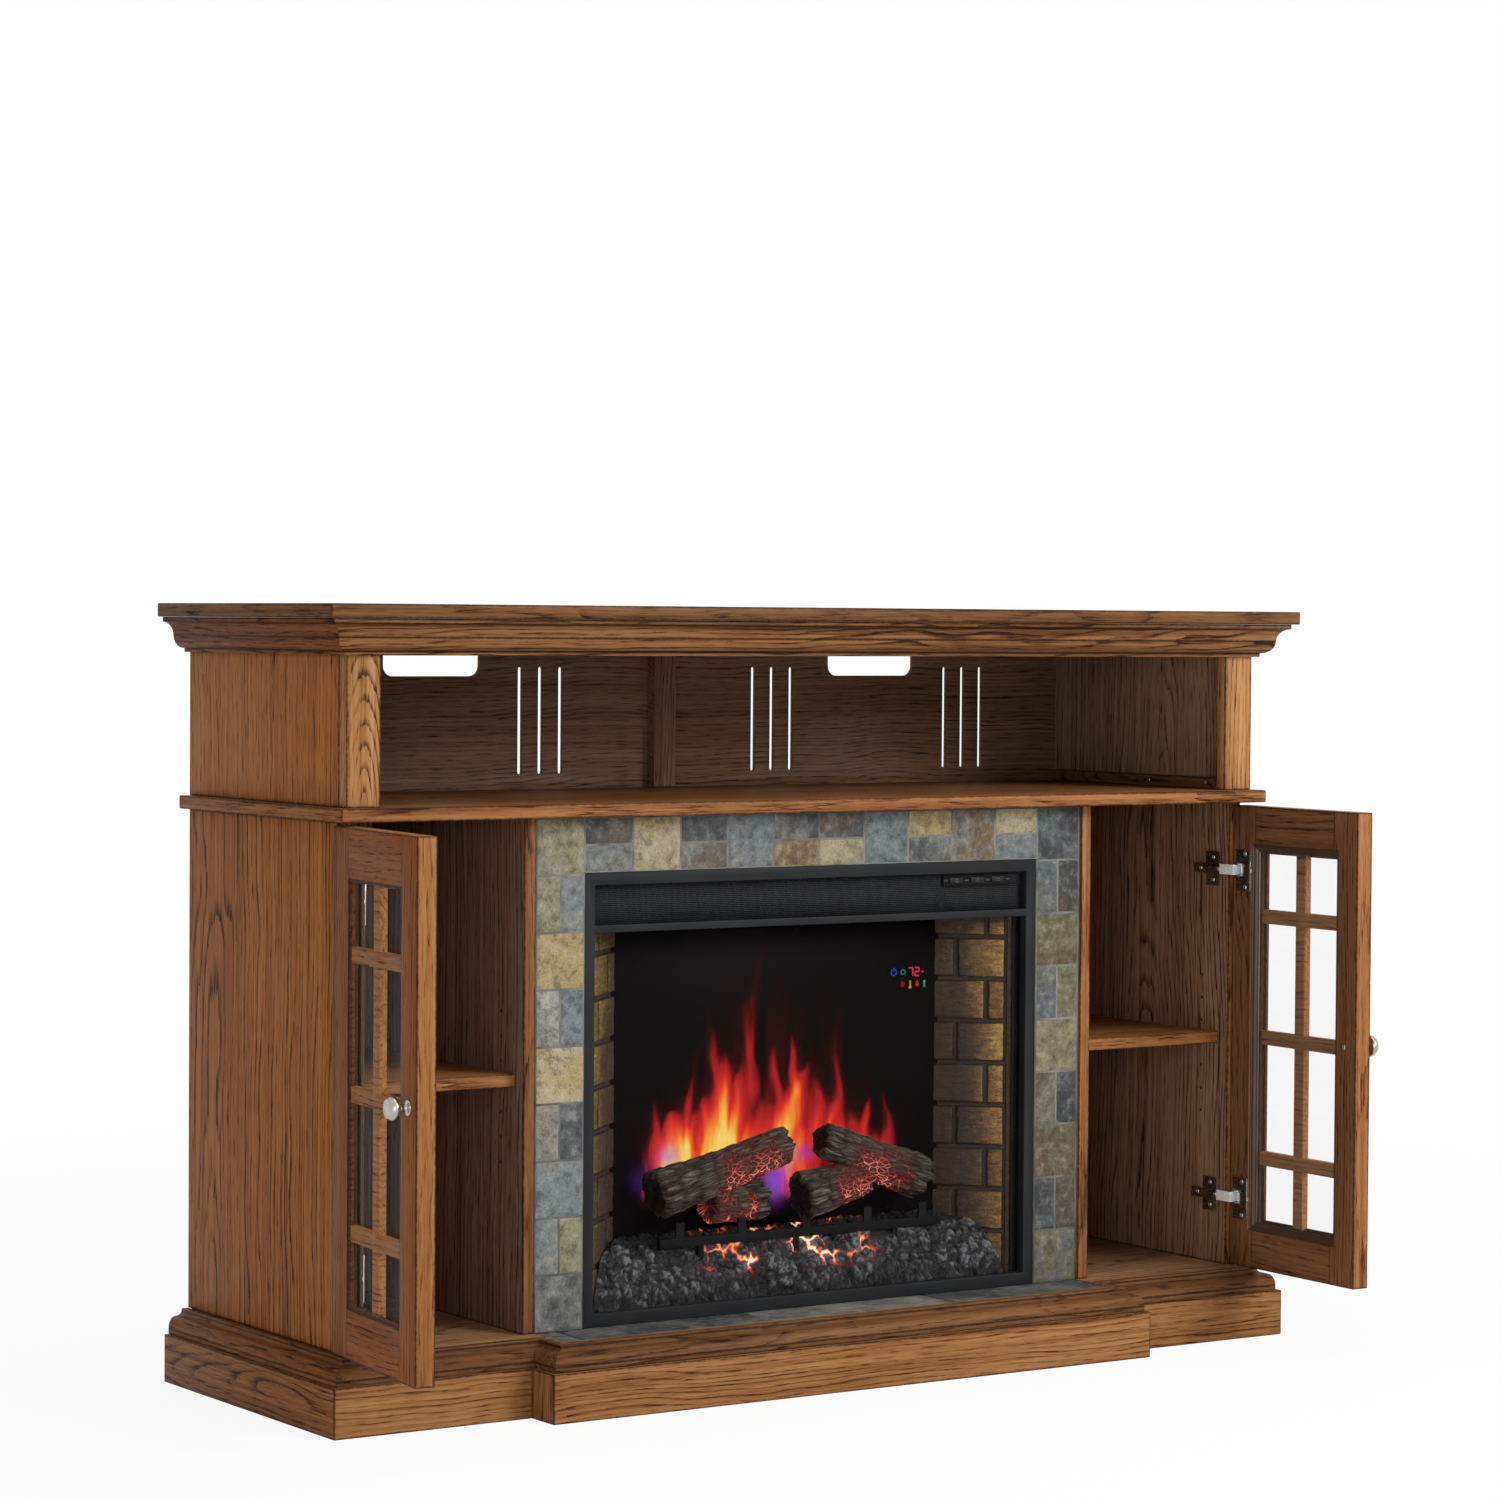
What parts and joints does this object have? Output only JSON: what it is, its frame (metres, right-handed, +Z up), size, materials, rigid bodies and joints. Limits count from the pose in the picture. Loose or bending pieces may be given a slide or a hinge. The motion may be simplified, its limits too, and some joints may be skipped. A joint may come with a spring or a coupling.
{
  "type": "fireplace tv stand",
  "caption": "Oak media stand with an open equipment bay, glazed side cupboards and an electric fireplace set in a slate surround.",
  "frame": {"origin": "on the floor under the middle of the case, on the underside of the plinth's centre rail", "axes": "+X to the right seen from the front, +Y towards the back, +Z up"},
  "size_m": [1.5391, 0.6854, 1.0108],
  "materials": {
    "oak": "stained oak, satin lacquer",
    "oak_inside": "dark stained, satin",
    "slate": "split slate, honed",
    "black_steel": "satin black",
    "clear_glass": "clear",
    "smoked_screen": "smoked, glossy",
    "brickwork": "moulded brick",
    "charcoal": "rough ash",
    "log_bark": "charred bark",
    "nickel": "brushed nickel",
    "hinge_steel": "nickel plated",
    "aluminium": "bare sheet",
    "black_plastic": "satin black"
  },
  "bodies": {
    "cabinet": {"top_panel": "oak", "crown_front": "oak", "crown_left": "oak", "crown_right": "oak", "upper_side_left": "oak", "upper_side_right": "oak", "front_post_left": "oak", "front_post_right": "oak", "media_shelf": "oak", "lower_side_left": "oak", "lower_side_right": "oak", "divider_left": "oak", "divider_right": "oak", "cupboard_shelf_left": "oak", "cupboard_shelf_right": "oak", "base_deck": "oak", "base_moulding_left": "oak", "base_moulding_right": "oak", "base_moulding_front": "oak", "plinth_side_left": "oak", "plinth_side_right": "oak", "plinth_front_left": "oak", "plinth_front_right": "oak", "plinth_front_center": "oak", "upper_back_panel": "oak_inside", "lower_back_panel": "oak_inside", "plinth_center_rail": "oak_inside", "tile_surround": "slate", "hearth_tiles": "slate", "insert_frame": "black_steel", "heater_grille": "black_steel", "insert_casing": "black_steel", "grate": "black_steel", "front_glass": "clear_glass", "flame_screen": "smoked_screen", "brick_panel_left": "brickwork", "brick_panel_right": "brickwork", "ember_bed": "charcoal", "log_left": "log_bark", "log_right_rear": "log_bark", "log_right_front": "log_bark", "left_hinge_arm_upper": "hinge_steel", "left_hinge_arm_lower": "hinge_steel", "right_hinge_arm_upper": "hinge_steel", "right_hinge_arm_lower": "hinge_steel"},
    "left_door": {"left_door_frame": "oak", "left_door_glass": "clear_glass", "left_door_knob": "nickel", "left_hinge_cup_upper": "hinge_steel", "left_hinge_cup_lower": "hinge_steel"},
    "right_door": {"right_door_frame": "oak", "right_door_glass": "clear_glass", "right_door_knob": "nickel", "right_hinge_cup_upper": "hinge_steel", "right_hinge_cup_lower": "hinge_steel"},
    "flame_rotor": {"flame_rotor": "aluminium"},
    "blower_wheel": {"blower_wheel": "aluminium"},
    "power_button": {"power_button": "black_plastic"},
    "flame_button": {"flame_button": "black_plastic"},
    "heat_button": {"heat_button": "black_plastic"}
  },
  "joints": [
    {"name": "left_door_hinge", "type": "hinge", "parent": "cabinet", "child": "left_door", "pos_m": [-0.7067, -0.1815, 0.42], "axis": [0, 0, -1], "range_deg": [-97, 8]},
    {"name": "right_door_hinge", "type": "hinge", "parent": "cabinet", "child": "right_door", "pos_m": [0.7067, -0.1815, 0.42], "axis": [0, 0, 1], "range_deg": [-88, 17]},
    {"name": "flame_rotor_spin", "type": "hinge", "parent": "cabinet", "child": "flame_rotor", "pos_m": [0, -0.015, 0.1902], "axis": [1, 0, 0], "continuous": true},
    {"name": "blower_spin", "type": "hinge", "parent": "cabinet", "child": "blower_wheel", "pos_m": [0, -0.09, 0.6352], "axis": [1, 0, 0], "continuous": true},
    {"name": "power_button_press", "type": "slide", "parent": "cabinet", "child": "power_button", "axis": [0, 1, 0], "range_m": [0, 0.001], "stiffness_N_per_m": 400},
    {"name": "flame_button_press", "type": "slide", "parent": "cabinet", "child": "flame_button", "axis": [0, 1, 0], "range_m": [0, 0.001], "stiffness_N_per_m": 400},
    {"name": "heat_button_press", "type": "slide", "parent": "cabinet", "child": "heat_button", "axis": [0, 1, 0], "range_m": [0, 0.001], "stiffness_N_per_m": 400}
  ]
}
